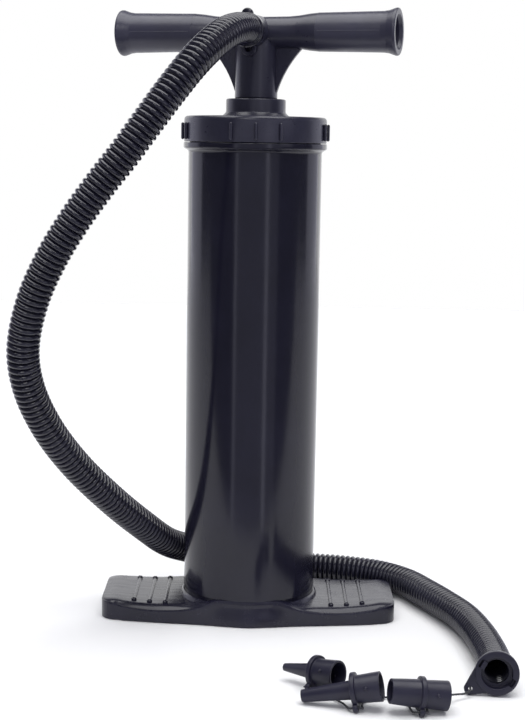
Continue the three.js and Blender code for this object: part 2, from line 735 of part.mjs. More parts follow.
// Lays a nozzle on the floor by its mouth's centre, the compass direction and the upward tilt
// of its mouth, and the eyelet's turn about its own axis. Angles in degrees.
function layNozzle(name, geometry, mouth, turn, tilt, roll) {
  const mesh = addMesh(pump, name, geometry);
  const radians = THREE.MathUtils.degToRad;
  mesh.position.set(...mouth);
  mesh.rotation.set(0, Math.PI / 2 - radians(tilt), radians(turn), "ZYX");
  mesh.rotateZ(radians(roll));
}
layNozzle("nozzle_long", nozzle(35.4, 6.6, 4.3, 5, 2.8), [92, -224.5, 16.7], -12, 12.4, -42);
layNozzle("nozzle_small", nozzle(26.5, 5.8, 2.7, 4.2, 1.6), [64.3, -196.6, 13.8], -38, 6, -52);
layNozzle("nozzle_adapter", nozzle(19.8, 9.6, 8.4, 7.6, 6.8), [136.5, -224, 10.5], 8, -7, -42);

// From the collar's tab through the three eyelets.
const STRING_ROUTE = [
  [156.6, -188.7, 4],
  [156.3, -191.9, 4.25],
  [156, -194.8, 4.6],
  [154.4, -198, 4],
  [150.6, -200.6, 3.4],
  [146.3, -203.2, 4],
  [141, -208.2, 5.3],
  [136.2, -212.8, 6],
  [130.5, -213.2, 4.6],
  [125.8, -215, 2.2],
  [123.2, -220, 1.1],
  [122.9, -226, 1.1],
  [122.7, -231.5, 1.7],
  [121.4, -235, 2.6],
  [118.4, -235.5, 2.9],
  [115, -235.5, 3],
  [112.7, -231.5, 1.7],
  [112, -225, 1.1],
  [110.5, -215.5, 1.1],
  [105, -206.6, 1.1],
  [97.5, -203.6, 1.1],
  [89.5, -204.6, 1.1],
  [83, -210, 1.1],
  [79.6, -217.5, 1.1],
  [79.7, -225.5, 1.4],
  [78.8, -229.4, 2.9],
  [76.7, -230.2, 3.5],
  [74.6, -229.8, 3.1],
  [72.4, -229.3, 2.7],
  [70, -226.6, 1.8],
  [68.6, -221, 1.2],
  [66.8, -216, 1.1],
  [61.5, -208.4, 1.1],
  [54.6, -203, 1.6],
  [48, -197.6, 3.4],
  [44.1, -194, 3.8],
  [41, -191.6, 3.4],
];
addMesh(pump, "nozzle_string", tubeAlong(STRING_ROUTE, STRING_R, 8, 44), 0x202024, 0.6);

export default pump;
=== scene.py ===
"""Double action hand pump: the finished look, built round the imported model.

Shapes are given in millimetres and turned into metres when their mesh is made (MM).
"""

import json
import math

import bmesh
import bpy
from mathutils import Matrix, Vector


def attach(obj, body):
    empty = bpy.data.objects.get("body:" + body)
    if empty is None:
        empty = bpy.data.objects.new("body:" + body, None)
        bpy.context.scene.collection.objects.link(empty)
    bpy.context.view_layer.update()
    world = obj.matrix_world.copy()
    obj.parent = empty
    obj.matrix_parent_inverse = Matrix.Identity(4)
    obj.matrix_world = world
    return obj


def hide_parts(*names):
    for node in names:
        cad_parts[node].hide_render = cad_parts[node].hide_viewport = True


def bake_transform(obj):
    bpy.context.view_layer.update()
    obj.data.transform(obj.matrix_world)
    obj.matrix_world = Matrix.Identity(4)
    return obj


MM = 0.001
ROOT = "root_barrel"
PLUNGER = "plunger"

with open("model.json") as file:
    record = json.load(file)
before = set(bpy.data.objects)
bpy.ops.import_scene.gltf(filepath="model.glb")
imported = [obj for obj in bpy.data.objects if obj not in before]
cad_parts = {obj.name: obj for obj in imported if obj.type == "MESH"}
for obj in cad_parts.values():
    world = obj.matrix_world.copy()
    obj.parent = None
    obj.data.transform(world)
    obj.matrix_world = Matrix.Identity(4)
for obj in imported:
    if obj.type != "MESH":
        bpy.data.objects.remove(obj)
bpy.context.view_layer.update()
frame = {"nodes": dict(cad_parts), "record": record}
NODES = frame["nodes"]
SLOT_OF = {part["node"]: part["material_slot"] for part in frame["record"]["subparts"]}

# ---- Camera: place in metres, angles in degrees ----
LENS = 75.75
SENSOR_WIDTH = 36
CAMERA_AT = (0.0084, -1.2, 0.377)
CAMERA_DOWN = 8.19
CAMERA_ROLL = 0.95
CLIP_END = 50

# ---- Sizes, in millimetres ----
BAR_Z = 461
HANDLE_TURN = math.radians(-17)
STEM_R = 16.6
STEM_FOOT = 410.4
GUSSET_FOOT = 414.6
GUSSET_PULL = (22.6, 434)
GUSSET_END = (38, 450)
GUSSET_T = 3
LATCH_Z = 448
BOSS_R = 12.8
BOSS_REACH = 22
SPIGOT_R = 10.3
SPIGOT_REACH = 28.6
PORT_BORE_R = 8
PORT_BORE_REACH = 40
ROD_R = 14.3
ROD_BORE_R = 12.7
ROD_LOW = 33.3
ROD_HIGH = 440
COLLAR_LENGTH = 9.6
COLLAR_BACK_R = 8.4
COLLAR_FLANGE_T = 4.4
COLLAR_R = 15.5
PORT_COLLAR_R = 13.2
COLLAR_BODY_R = 12.8
COLLAR_BORE_R = 10.8
SOCKET_DEPTH = 7.4
TAB_REACH = 26
TAB_HOLE_AT = 21.4
KNOB_R = 4.7
KNOB_AT = 12
NOTCH_TURNS = (117, 297)
GRIP_FROM = 50
GRIP_END = 112.4
GRIP_BORE_R = 12
SEAM_R = 0.28
BARREL_R = 52.4
BARREL_BORE_R = 49.6
BARREL_FOOT = 8.8
BARREL_TOP = 387.6
BARREL_NECK_R = 51.2
BARREL_FLANGE_R = 56.3
BARREL_FLANGE_TOP = 376.0
CAP_R = 55.8
CAP_BORE_R = 52.7
CAP_CEILING = 390
CAP_HOLE_R = 19
CAP_LOW = 376.4
CAP_HIGH = 396.4
NECK_R = 23.3
NECK_TOP = 410
RIB_PITCH = math.radians(19.3)
RIB_TURN = math.radians(0.8)
RIB_LOW = 2.9
RIB_HIGH = 13.6
RIB_R = 1.25
RIB_AT_R = 57.0
GUIDE_BORE_R = 14.65
GUIDE_LOW = 386.2
GUIDE_TOP = 409.2
WING_REACH = 117
CORNER_R = 13
SKIRT = 2.6
FOOT_RING_R = 55.6
FOOT_RING_TOP = 16.9
TREAD_R = 1.5
TREAD_INSET = 12.5
NOZZLE_CUP_R = 10.2
NOZZLE_CUP_WALL = 1.5
NOZZLE_CUP_LENGTH = 16.8
NOZZLE_FLANGE_R = 11.7
NOZZLE_FLANGE_T = 3.4
EYELET_R = 2.8
EYELET_BORE_R = 1.6
PEG_R = 1.4
PEG_TURN = -64
PEG_DEPTH = 9

# ---- Mesh making ----
TINY = 1e-6
SHARP_FROM = math.radians(32)
NEARLY_STRAIGHT = math.radians(88)
MOST_CUT = 0.45
CURVE_STEPS = 60

# ---- Steps round a turned piece ----
COARSE = 32
MEDIUM = 64
FINE = 96
FINEST = 160

# ---- Cords: routes in metres, the same points as the solid model's ----
HOSE_D = 0.0244
HOSE_PITCH = 0.0044
RIDGE_STEPS = 8
HOSE_GROOVE = 0.0022
HOSE_WALL = 0.0016
HOSE_SIDES = 36
RIDGE_POWER = 0.65
STRING_D = 0.0016
STRING_STEP = 0.0005
STRING_LAY = 0.005
STRANDS = 3
STRAND_SIDES = 8
STRAND_SHARE = 0.27
LAY_SHARE = 0.23
HOSE_ROUTE = [
    (-0.0096, -0.0315, 0.461),
    (-0.0136, -0.046, 0.4604),
    (-0.024, -0.074, 0.454),
    (-0.041, -0.102, 0.436),
    (-0.060, -0.117, 0.411),
    (-0.077, -0.124, 0.387),
    (-0.092, -0.1265, 0.366),
    (-0.106, -0.127, 0.348),
    (-0.126, -0.127, 0.320),
    (-0.143, -0.125, 0.292),
    (-0.157, -0.121, 0.261),
    (-0.165, -0.114, 0.226),
    (-0.163, -0.104, 0.197),
    (-0.153, -0.088, 0.166),
    (-0.135, -0.064, 0.132),
    (-0.109, -0.036, 0.097),
    (-0.085, -0.006, 0.068),
    (-0.068, 0.021, 0.048),
    (-0.051, 0.0468, 0.0356),
    (-0.026, 0.067, 0.0246),
    (0.008, 0.0776, 0.0158),
    (0.046, 0.078, 0.0126),
    (0.082, 0.070, 0.0126),
    (0.1106, 0.0568, 0.0126),
    (0.1318, 0.0336, 0.0126),
    (0.146, 0.003, 0.0126),
    (0.158, -0.027, 0.0126),
    (0.169, -0.060, 0.0126),
    (0.175, -0.098, 0.0126),
    (0.1775, -0.136, 0.0126),
    (0.1774, -0.161, 0.0128),
    (0.1752, -0.1844, 0.0149),
]
HOSE_JOINT = Vector((-0.092, -0.1265, 0.366))
STRING_ROUTE = [
    (0.1566, -0.1887, 0.004),
    (0.1563, -0.1919, 0.00425),
    (0.156, -0.1948, 0.0046),
    (0.1544, -0.198, 0.004),
    (0.1506, -0.2006, 0.0034),
    (0.1463, -0.2032, 0.004),
    (0.141, -0.2082, 0.0053),
    (0.1362, -0.2128, 0.006),
    (0.1305, -0.2132, 0.0046),
    (0.1258, -0.215, 0.0022),
    (0.1232, -0.22, 0.0011),
    (0.1229, -0.226, 0.0011),
    (0.1227, -0.2315, 0.0017),
    (0.1214, -0.235, 0.0026),
    (0.1184, -0.2355, 0.0029),
    (0.115, -0.2355, 0.003),
    (0.1127, -0.2315, 0.0017),
    (0.112, -0.225, 0.0011),
    (0.1105, -0.2155, 0.0011),
    (0.105, -0.2066, 0.0011),
    (0.0975, -0.2036, 0.0011),
    (0.0895, -0.2046, 0.0011),
    (0.083, -0.21, 0.0011),
    (0.0796, -0.2175, 0.0011),
    (0.0797, -0.2255, 0.0014),
    (0.0788, -0.2294, 0.0029),
    (0.0767, -0.2302, 0.0035),
    (0.0746, -0.2298, 0.0031),
    (0.0724, -0.2293, 0.0027),
    (0.07, -0.2266, 0.0018),
    (0.0686, -0.221, 0.0012),
    (0.0668, -0.216, 0.0011),
    (0.0615, -0.2084, 0.0011),
    (0.0546, -0.203, 0.0016),
    (0.048, -0.1976, 0.0034),
    (0.0441, -0.194, 0.0038),
    (0.041, -0.1916, 0.0034),
]


# ---- Camera ----
def make_camera():
    data = bpy.data.cameras.new("camera")
    data.lens = LENS
    data.sensor_width = SENSOR_WIDTH
    data.clip_end = CLIP_END
    camera = bpy.data.objects.new("camera", data)
    bpy.context.collection.objects.link(camera)
    pitch = Matrix.Rotation(math.radians(90 - CAMERA_DOWN), 4, "X")
    roll = Matrix.Rotation(math.radians(CAMERA_ROLL), 4, "Z")
    camera.matrix_world = Matrix.Translation(CAMERA_AT) @ pitch @ roll
    bpy.context.scene.camera = camera


make_camera()


# ---- Materials ----
def new_material(name):
    material = bpy.data.materials.new(name)
    material.use_nodes = True
    tree = material.node_tree
    shader = tree.nodes["Principled BSDF"]
    return material, tree, shader


def noise(tree, scale, detail=4.0, roughness=0.55, stretch=(1, 1, 1)):
    """A noise value that stays with the object; a larger scale is finer."""
    coordinates = tree.nodes.new("ShaderNodeTexCoord")
    mapping = tree.nodes.new("ShaderNodeMapping")
    mapping.inputs["Scale"].default_value = stretch
    texture = tree.nodes.new("ShaderNodeTexNoise")
    texture.inputs["Scale"].default_value = scale
    texture.inputs["Detail"].default_value = detail
    texture.inputs["Roughness"].default_value = roughness
    tree.links.new(coordinates.outputs["Object"], mapping.inputs["Vector"])
    tree.links.new(mapping.outputs["Vector"], texture.inputs["Vector"])
    return texture.outputs["Fac"]


def ramp(tree, value, low, high):
    """A colour that runs from low to high over the middle of the noise's range."""
    node = tree.nodes.new("ShaderNodeValToRGB")
    node.color_ramp.elements[0].position = 0.35
    node.color_ramp.elements[1].position = 0.65
    node.color_ramp.elements[0].color = (*low, 1)
    node.color_ramp.elements[1].color = (*high, 1)
    tree.links.new(value, node.inputs["Fac"])
    return node.outputs["Color"]


def spread(tree, value, low, high):
    """A number that runs from low to high over the middle of the noise's range."""
    node = tree.nodes.new("ShaderNodeMapRange")
    node.inputs["From Min"].default_value = 0.3
    node.inputs["From Max"].default_value = 0.7
    node.inputs["To Min"].default_value = low
    node.inputs["To Max"].default_value = high
    tree.links.new(value, node.inputs["Value"])
    return node.outputs["Result"]


def bump(tree, value, strength, distance, onto=None):
    node = tree.nodes.new("ShaderNodeBump")
    node.inputs["Strength"].default_value = strength
    node.inputs["Distance"].default_value = distance
    tree.links.new(value, node.inputs["Height"])
    if onto is not None:
        tree.links.new(onto, node.inputs["Normal"])
    return node.outputs["Normal"]


def lighter(color, factor):
    return tuple(min(1.0, c * factor) for c in color)


def moulded(name, color, rough, grain=1400, grain_depth=0.00003, specular=0.4, wave=0.00025):
    """Moulded plastic: fine grain, slow waviness from the mould, and a little wear in its gloss."""
    material, tree, shader = new_material(name)
    cloud = noise(tree, 22, detail=5.0)
    fine = noise(tree, grain, detail=3.0)
    base = ramp(tree, cloud, lighter(color, 0.88), lighter(color, 1.15))
    tree.links.new(base, shader.inputs["Base Color"])
    scuffs = noise(tree, 90, detail=6.0, roughness=0.7)
    tree.links.new(spread(tree, scuffs, rough * 0.85, rough * 1.2), shader.inputs["Roughness"])
    shader.inputs["Specular IOR Level"].default_value = specular
    slow = bump(tree, noise(tree, 26, detail=2.0), strength=0.35, distance=wave)
    grained = bump(tree, fine, strength=0.5, distance=grain_depth, onto=slow)
    tree.links.new(grained, shader.inputs["Normal"])
    return material


def ribbed_foot(name, color, rough):
    """The foot's plastic, with faint drawn lines in its bump."""
    material, tree, shader = new_material(name)
    cloud = noise(tree, 30, detail=5.0)
    base = ramp(tree, cloud, lighter(color, 0.86), lighter(color, 1.16))
    tree.links.new(base, shader.inputs["Base Color"])
    scuffs = noise(tree, 120, detail=6.0, roughness=0.7)
    tree.links.new(spread(tree, scuffs, rough * 0.8, rough * 1.25), shader.inputs["Roughness"])
    shader.inputs["Specular IOR Level"].default_value = 0.42
    drawn = noise(tree, 40, detail=2.0, roughness=0.5, stretch=(0.3, 6, 0.05))
    grain = noise(tree, 1500, detail=3.0)
    lines = bump(tree, drawn, strength=0.3, distance=0.0006)
    grained = bump(tree, grain, strength=0.3, distance=0.00001, onto=lines)
    tree.links.new(grained, shader.inputs["Normal"])
    return material


def rubber(name, color):
    """Matt black rubber with a fine skin."""
    material, tree, shader = new_material(name)
    base = ramp(tree, noise(tree, 60, detail=5.0), lighter(color, 0.8), lighter(color, 1.3))
    tree.links.new(base, shader.inputs["Base Color"])
    tree.links.new(spread(tree, noise(tree, 300), 0.6, 0.8), shader.inputs["Roughness"])
    pores = bump(tree, noise(tree, 1800, detail=3.0), strength=0.6, distance=0.00003)
    tree.links.new(pores, shader.inputs["Normal"])
    return material


def metal(name, color, rough, stretch):
    """Bare metal with a fine grain; stretch draws the grain out into lines."""
    material, tree, shader = new_material(name)
    base = ramp(tree, noise(tree, 40), lighter(color, 0.9), lighter(color, 1.08))
    tree.links.new(base, shader.inputs["Base Color"])
    shader.inputs["Metallic"].default_value = 1.0
    lines = noise(tree, 900, detail=3.0, roughness=0.6, stretch=stretch)
    tree.links.new(spread(tree, lines, rough * 0.75, rough * 1.3), shader.inputs["Roughness"])
    scored = bump(tree, lines, strength=0.25, distance=0.00002)
    tree.links.new(scored, shader.inputs["Normal"])
    return material


def cloth_cord(name, color):
    """Twisted fibre, rough and slightly fuzzy."""
    material, tree, shader = new_material(name)
    fibres = noise(tree, 2600, roughness=0.7)
    base = ramp(tree, fibres, lighter(color, 0.6), lighter(color, 1.8))
    tree.links.new(base, shader.inputs["Base Color"])
    shader.inputs["Roughness"].default_value = 0.85
    shader.inputs["Sheen Weight"].default_value = 0.3
    tree.links.new(bump(tree, fibres, strength=0.8, distance=0.0001), shader.inputs["Normal"])
    return material


MATERIALS = {
    "barrel_gloss": moulded(
        "barrel_gloss", (0.0105, 0.0101, 0.0205), 0.15, grain=1900, grain_depth=0.00001, specular=0.38,
        wave=0.0003,
    ),
    "body_plastic": moulded(
        "body_plastic", (0.0250, 0.0243, 0.0440), 0.30, grain=1400, grain_depth=0.00002, specular=0.50,
        wave=0.0001,
    ),
    "foot_plastic": ribbed_foot("foot_plastic", (0.0115, 0.0110, 0.0240), 0.24),
    "grip_plastic": moulded(
        "grip_plastic", (0.0330, 0.0322, 0.0560), 0.35, grain=1200, grain_depth=0.00003, specular=0.50,
        wave=0.0001,
    ),
    "hose_plastic": moulded(
        "hose_plastic", (0.0130, 0.0126, 0.0240), 0.13, grain=1600, grain_depth=0.00001, specular=0.58
    ),
    "nozzle_plastic": moulded(
        "nozzle_plastic", (0.0150, 0.0143, 0.0300), 0.38, grain=1000, grain_depth=0.00006, specular=0.36
    ),
    "bush_plastic": moulded("bush_plastic", (0.0220, 0.0210, 0.0300), 0.40),
    "seal_rubber": rubber("seal_rubber", (0.012, 0.012, 0.013)),
    "rod_aluminium": metal("rod_aluminium", (0.60, 0.61, 0.63), 0.28, stretch=(1, 1, 0.02)),
    "screw_steel": metal("screw_steel", (0.52, 0.52, 0.54), 0.34, stretch=(1, 1, 1)),
    "string_cord": cloth_cord("string_cord", (0.020, 0.020, 0.026)),
}


def paint(obj, slot_name):
    """Gives an object the material of a slot, and no other."""
    obj.data.materials.clear()
    obj.data.materials.append(MATERIALS[slot_name])
    return obj


# ---- Mesh helpers ----
def smooth_by_angle(mesh):
    """Cleans a mesh, and smooths it except across its sharp edges."""
    bm = bmesh.new()
    bm.from_mesh(mesh)
    bmesh.ops.remove_doubles(bm, verts=bm.verts, dist=1e-7)
    bmesh.ops.dissolve_degenerate(bm, edges=bm.edges, dist=1e-8)
    bmesh.ops.recalc_face_normals(bm, faces=bm.faces)
    for face in bm.faces:
        face.smooth = True
    for edge in bm.edges:
        edge.smooth = len(edge.link_faces) == 2 and edge.calc_face_angle() < SHARP_FROM
    bm.to_mesh(mesh)
    bm.free()


def mesh_object(name, vertices, faces, place=None):
    """An object from corners in millimetres, moved by a matrix in metres."""
    mesh = bpy.data.meshes.new(name)
    mesh.from_pydata([Vector(v) * MM for v in vertices], [], faces)
    if place is not None:
        mesh.transform(place)
    smooth_by_angle(mesh)
    obj = bpy.data.objects.new(name, mesh)
    bpy.context.collection.objects.link(obj)
    return obj


def filleted(corners, steps=4):
    """The points of a closed outline of (x, y) or (x, y, radius) corners, each radius a soft bend."""
    points = []
    count = len(corners)
    for i, corner in enumerate(corners):
        here = Vector(corner[:2])
        radius = corner[2] if len(corner) > 2 else 0
        before = Vector(corners[i - 1][:2]) - here
        after = Vector(corners[(i + 1) % count][:2]) - here
        if radius <= 0 or before.length < TINY or after.length < TINY:
            points.append(here)
            continue
        half = before.angle(after) / 2
        if half > NEARLY_STRAIGHT:
            points.append(here)
            continue
        cut = min(radius / math.tan(half), MOST_CUT * before.length, MOST_CUT * after.length)
        start = here + before.normalized() * cut
        end = here + after.normalized() * cut
        for step in range(steps + 1):
            t = step / steps
            points.append(start * (1 - t) ** 2 + here * 2 * t * (1 - t) + end * t * t)
    return points


def turned(name, corners, place=None, segments=96):
    """Turns a closed outline of (radius, height, fillet) corners about the Z axis."""
    outline = filleted(corners)
    count = len(outline)
    vertices = []
    for k in range(segments):
        a = 2 * math.pi * k / segments
        vertices += [(p.x * math.cos(a), p.x * math.sin(a), p.y) for p in outline]
    faces = []
    for k in range(segments):
        other = (k + 1) % segments
        for i in range(count):
            j = (i + 1) % count
            if outline[i].x < TINY and outline[j].x < TINY:
                continue
            faces.append((k * count + i, other * count + i, other * count + j, k * count + j))
    return mesh_object(name, vertices, faces, place)


def round_bar(name, radius, low, high, place, segments, fillet=0):
    """A plain round bar between two heights, to add to a piece or to cut it with."""
    corners = [(0, low), (radius, low, fillet), (radius, high, fillet), (0, high)]
    return turned(name, corners, place, segments)


def extruded(name, corners, low, high, place=None, edge=0.4):
    """A plate between two heights with a filleted outline and bevelled edges."""
    outline = filleted(corners)
    centre = sum(outline, Vector((0, 0))) / len(outline)
    levels = [(low, edge), (low + edge, 0), (high - edge, 0), (high, edge)]
    vertices = []
    for height, inset in levels:
        for p in outline:
            inward = (centre - p).normalized() * inset
            vertices.append((p.x + inward.x, p.y + inward.y, height))
    count = len(outline)
    faces = [tuple(range(count - 1, -1, -1))]
    for level in range(len(levels) - 1):
        for i in range(count):
            j = (i + 1) % count
            a = level * count
            faces.append((a + i, a + j, a + count + j, a + count + i))
    faces.append(tuple(range(3 * count, 4 * count)))
    return mesh_object(name, vertices, faces, place)


def loft(name, sections):
    """A closed skin over a row of sections with the same number of corners, flat at both ends."""
    count = len(sections[0])
    vertices = [p for section in sections for p in section]
    faces = [tuple(range(count))]
    for k in range(len(sections) - 1):
        for i in range(count):
            j = (i + 1) % count
            faces.append((k * count + i, (k + 1) * count + i, (k + 1) * count + j, k * count + j))
    last = (len(sections) - 1) * count
    faces.append(tuple(range(last + count - 1, last - 1, -1)))
    return mesh_object(name, vertices, faces)


def joined(name, parts):
    """One object from several closed meshes."""
    bm = bmesh.new()
    for part in parts:
        bm.from_mesh(part.data)
    mesh = bpy.data.meshes.new(name)
    bm.to_mesh(mesh)
    bm.free()
    for part in parts:
        bpy.data.objects.remove(part)
    obj = bpy.data.objects.new(name, mesh)
    bpy.context.collection.objects.link(obj)
    return obj


def capsule(name, start, end, radius, place=None):
    """A bar with round ends between two points."""
    axis = Vector(end) - Vector(start)
    length = axis.length
    steps = 5
    outline = [(0, -radius)]
    for k in range(1, steps + 1):
        a = math.pi / 2 * k / steps
        outline.append((radius * math.sin(a), -radius * math.cos(a)))
    for k in range(steps + 1):
        a = math.pi / 2 * k / steps
        outline.append((radius * math.cos(a), length + radius * math.sin(a)))
    outline[-1] = (0, length + radius)
    turn = axis.to_track_quat("Z", "Y").to_matrix().to_4x4()
    where = Matrix.Translation(Vector(start) * MM) @ turn
    if place is not None:
        where = place @ where
    return turned(name, outline, where, segments=16)


def merged(base, operation, *tools):
    """Joins or cuts base with each tool, and removes the tools."""
    for tool in tools:
        modifier = base.modifiers.new("join", "BOOLEAN")
        modifier.operation = operation
        modifier.solver = "EXACT"
        modifier.object = tool
    graph = bpy.context.evaluated_depsgraph_get()
    mesh = bpy.data.meshes.new_from_object(base.evaluated_get(graph))
    base.modifiers.clear()
    base.data = mesh
    for tool in tools:
        bpy.data.objects.remove(tool)
    smooth_by_angle(mesh)
    return base


def finished(obj, slot_name, body, *nodes):
    """Gives a piece its finish and its body, and lets it stand for its nodes of the solid model."""
    paint(obj, slot_name)
    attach(obj, body)
    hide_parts(*nodes)
    return obj


# ---- Cords ----
def route_points(route, spacing):
    """Even points along a centripetal Catmull-Rom curve through the route, and its length."""
    points = [Vector(p) for p in route]
    points = [points[0] * 2 - points[1]] + points + [points[-1] * 2 - points[-2]]
    dense = []
    for i in range(1, len(points) - 2):
        p0, p1, p2, p3 = points[i - 1 : i + 3]
        d0 = (p1 - p0).length ** 0.5
        d1 = (p2 - p1).length ** 0.5
        d2 = (p3 - p2).length ** 0.5
        m1 = ((p1 - p0) / d0 - (p2 - p0) / (d0 + d1) + (p2 - p1) / d1) * d1
        m2 = ((p2 - p1) / d1 - (p3 - p1) / (d1 + d2) + (p3 - p2) / d2) * d1
        for step in range(CURVE_STEPS):
            t = step / CURVE_STEPS
            a = 2 * t**3 - 3 * t**2 + 1
            b = t**3 - 2 * t**2 + t
            c = 3 * t**2 - 2 * t**3
            d = t**3 - t**2
            dense.append(p1 * a + m1 * b + p2 * c + m2 * d)
    dense.append(points[-2])
    lengths = [0.0]
    for a, b in zip(dense, dense[1:]):
        lengths.append(lengths[-1] + (b - a).length)
    total = lengths[-1]
    count = max(2, round(total / spacing))
    even = []
    at = 0
    for k in range(count + 1):
        wanted = total * k / count
        while at + 2 < len(dense) and lengths[at + 1] < wanted:
            at += 1
        share = (wanted - lengths[at]) / max(1e-12, lengths[at + 1] - lengths[at])
        even.append(dense[at].lerp(dense[at + 1], share))
    return even, total


def frames_along(points):
    """An untwisted (normal, binormal) pair at each point."""
    pairs = []
    tangent = (points[1] - points[0]).normalized()
    normal = tangent.orthogonal().normalized()
    for i in range(len(points)):
        following = points[min(i + 1, len(points) - 1)]
        previous = points[max(i - 1, 0)]
        turn = tangent.rotation_difference((following - previous).normalized())
        normal = (turn @ normal).normalized()
        tangent = (following - previous).normalized()
        pairs.append((normal, tangent.cross(normal)))
    return pairs


def skin(name, rings):
    """A closed skin over rings of points in metres, whose last ring joins the first."""
    count = len(rings[0])
    vertices = [p / MM for ring in rings for p in ring]
    faces = []
    for k in range(len(rings)):
        other = (k + 1) % len(rings)
        for i in range(count):
            j = (i + 1) % count
            faces.append((k * count + i, other * count + i, other * count + j, k * count + j))
    return mesh_object(name, vertices, faces)


def circle_ring(centre, pair, radius, sides):
    normal, binormal = pair
    turns = [2 * math.pi * i / sides for i in range(sides)]
    return [centre + (normal * math.cos(a) + binormal * math.sin(a)) * radius for a in turns]


def corrugated_hose(name, points, pairs):
    """A tube whose wall runs in rounded ridges with narrow grooves, inside and out."""
    count = len(points)
    depths = [1 - abs(math.sin(math.pi * k / RIDGE_STEPS)) ** RIDGE_POWER for k in range(count)]
    radii = [HOSE_D / 2 - HOSE_GROOVE * depth for depth in depths]
    outer = [circle_ring(p, f, r, HOSE_SIDES) for p, f, r in zip(points, pairs, radii)]
    inner = [circle_ring(p, f, r - HOSE_WALL, HOSE_SIDES) for p, f, r in zip(points, pairs, radii)]
    hose = skin(name, outer + inner[::-1])
    hose.data.polygons.foreach_set("use_smooth", [True] * len(hose.data.polygons))
    return paint(hose, "hose_plastic")


hose_points = route_points(HOSE_ROUTE, HOSE_PITCH / RIDGE_STEPS)[0]
hose_pairs = frames_along(hose_points)
nearest = min(range(len(hose_points)), key=lambda k: (hose_points[k] - HOSE_JOINT).length)
split = RIDGE_STEPS * round(nearest / RIDGE_STEPS)
upper_path = hose_points[: split + 1]
lower_path = hose_points[split:]
hose_upper = corrugated_hose("hose_upper_skin", upper_path, hose_pairs[: split + 1])
hose_lower = corrugated_hose("hose_lower_skin", lower_path, hose_pairs[split:])


def twisted_string(name, route):
    """Strands laid round each other; also the path down their middle, and its length."""
    strand_r = STRING_D * STRAND_SHARE
    lay_r = STRING_D * LAY_SHARE
    points, total = route_points(route, STRING_STEP)
    pairs = frames_along(points)
    strands = []
    for strand in range(STRANDS):
        rings = []
        for k, (point, pair) in enumerate(zip(points, pairs)):
            a = 2 * math.pi * (strand / STRANDS + k * STRING_STEP / STRING_LAY)
            centre = point + (pair[0] * math.cos(a) + pair[1] * math.sin(a)) * lay_r
            rings.append([p / MM for p in circle_ring(centre, pair, strand_r, STRAND_SIDES)])
        strands.append(loft(f"{name}_{strand}", rings))
    return strands, points[::4] + [points[-1]], total


strands, string_path, string_length = twisted_string("strand", STRING_ROUTE)
string = paint(joined("nozzle_string_skin", strands), "string_cord")


# ---- Barrel ----
def build_barrel():
    corners = [
        (BARREL_BORE_R, BARREL_FOOT, 0.4),
        (52.3, BARREL_FOOT, 0.2),
        (52.3, 19.8, 0.1),
        (53.0, 20.1),
        (BARREL_R, 36, 12),
        (BARREL_R, 369.6, 2.5),
        (56.0, 371.6, 0.8),
        (BARREL_FLANGE_R, 372.4, 0.4),
        (BARREL_FLANGE_R, BARREL_FLANGE_TOP, 0.7),
        (BARREL_NECK_R, BARREL_FLANGE_TOP, 0.2),
        (BARREL_NECK_R, 378.5, 0.2),
        (52.2, 379.3, 0.4),
        (BARREL_NECK_R, 380.1, 0.2),
        (BARREL_NECK_R, BARREL_TOP, 0.3),
        (BARREL_BORE_R, BARREL_TOP, 0.3),
    ]
    finished(turned("barrel_skin", corners, segments=FINEST), "barrel_gloss", ROOT, "barrel")


build_barrel()


# ---- Screw cap ----
def build_cap():
    corners = [
        (CAP_BORE_R, CAP_LOW, 0.3),
        (CAP_R, CAP_LOW, 0.7),
        (CAP_R, CAP_HIGH, 3.4),
        (NECK_R + 3.4, CAP_HIGH, 2.2),
        (NECK_R, CAP_HIGH + 3.2, 2.6),
        (NECK_R, NECK_TOP, 1.5),
        (CAP_HOLE_R, NECK_TOP, 0.6),
        (CAP_HOLE_R, CAP_CEILING, 0.2),
        (CAP_BORE_R, CAP_CEILING, 0.5),
    ]
    cap = turned("cap_skin", corners, segments=FINEST)
    ribs = []
    for group in range(4):
        for i in (-1, 0, 1):
            a = -math.pi / 2 + RIB_TURN + group * math.pi / 2 + i * RIB_PITCH
            foot = (RIB_AT_R * math.cos(a), RIB_AT_R * math.sin(a))
            low = (*foot, CAP_LOW + RIB_LOW)
            high = (*foot, CAP_LOW + RIB_HIGH)
            ribs.append(capsule("rib", low, high, RIB_R))
    return finished(merged(cap, "UNION", *ribs), "body_plastic", ROOT, "screw_cap")


def build_guide():
    corners = [
        (GUIDE_BORE_R, GUIDE_LOW),
        (22.4, GUIDE_LOW),
        (22.4, 389.6),
        (18.6, 389.6),
        (18.6, GUIDE_TOP, 0.5),
        (GUIDE_BORE_R, GUIDE_TOP, 0.6),
    ]
    finished(turned("guide_skin", corners, segments=MEDIUM), "bush_plastic", ROOT, "rod_guide_bush")


build_cap()
build_guide()


# ---- Foot: curves of (distance from the middle, depth or height) ----
FOOT_DEPTH = [(0, 55.9), (18, 53.6), (36, 50.2), (75, 45.4), (98, 41.8), (106, 39)]
LIP = [
    (0, 20),
    (24, 20),
    (31, 17.4),
    (38, 14.2),
    (46, 12),
    (59, 10.2),
    (78, 9.6),
    (98, 11.4),
    (108, 13.4),
    (WING_REACH, 14),
]
RISE = [(30, 0.4), (60, 3), (98, 3), (WING_REACH, 0.6)]
TUCK = 2.9
TUCK_FROM = 16
TUCK_RUN = 24
